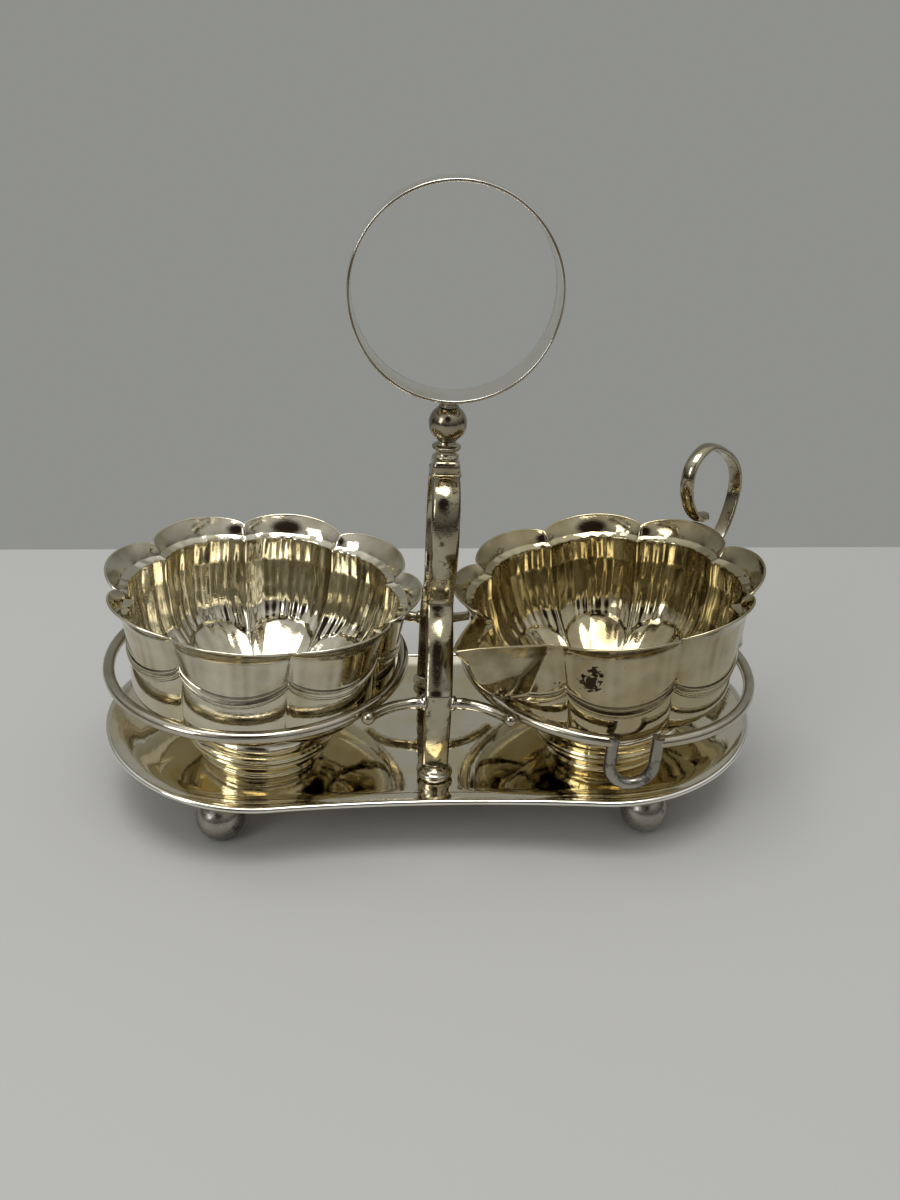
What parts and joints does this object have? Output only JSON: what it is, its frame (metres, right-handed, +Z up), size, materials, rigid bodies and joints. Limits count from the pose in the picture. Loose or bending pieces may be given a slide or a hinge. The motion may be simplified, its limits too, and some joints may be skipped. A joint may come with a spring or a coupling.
{
  "type": "sugar and cream stand",
  "caption": "Footed tray with an upright arch and ring handle, wire gallery rings, a lobed open sugar bowl and a lobed cream jug with a beak and a strap loop.",
  "frame": {"origin": "centre of the bounding box, at the level of the ball feet's flats on the table", "axes": "+Z up, +X along the tray towards the jug, -Y towards the front, where the notch loop is"},
  "size_m": [0.2262, 0.1032, 0.1971],
  "materials": {
    "bright_plate": "bright silver plate",
    "worn_plate": "silver plate, hand-worn, faint yellow tarnish",
    "aged_plate": "silver plate, dark tarnish",
    "vessel_plate": "bright silver plate with warm tarnish",
    "nut_brass": "dull brass"
  },
  "bodies": {
    "stand": {"tray_plate": "bright_plate", "tray_edge_wire": "bright_plate", "front_left_foot_ball": "aged_plate", "rear_left_foot_ball": "aged_plate", "front_right_foot_ball": "aged_plate", "rear_right_foot_ball": "aged_plate", "front_leg_collar": "worn_plate", "front_leg_nut": "nut_brass", "front_arch_strap": "bright_plate", "rear_leg_collar": "worn_plate", "rear_leg_nut": "nut_brass", "rear_arch_strap": "bright_plate", "arch_cap": "worn_plate", "neck_collar": "worn_plate", "ball_knop": "aged_plate", "handle_saddle": "aged_plate", "ring_handle": "bright_plate", "left_gallery_ring": "worn_plate", "right_gallery_ring": "worn_plate", "handle_notch_loop": "worn_plate", "front_left_bracket_arm": "worn_plate", "rear_left_bracket_arm": "worn_plate", "front_right_bracket_arm": "worn_plate", "rear_right_bracket_arm": "worn_plate"},
    "sugar_bowl": {"sugar_bowl_body": "vessel_plate", "sugar_bowl_foot": "vessel_plate"},
    "cream_jug": {"cream_jug_body": "vessel_plate", "cream_jug_foot": "vessel_plate", "cream_jug_handle": "worn_plate"}
  },
  "joints": [
    {"name": "sugar_lift", "type": "slide", "parent": "stand", "child": "sugar_bowl", "axis": [0, 0, 1], "range_m": [0, 0.034]},
    {"name": "jug_lift", "type": "slide", "parent": "stand", "child": "cream_jug", "axis": [0, 0, 1], "range_m": [0, 0.034]}
  ]
}
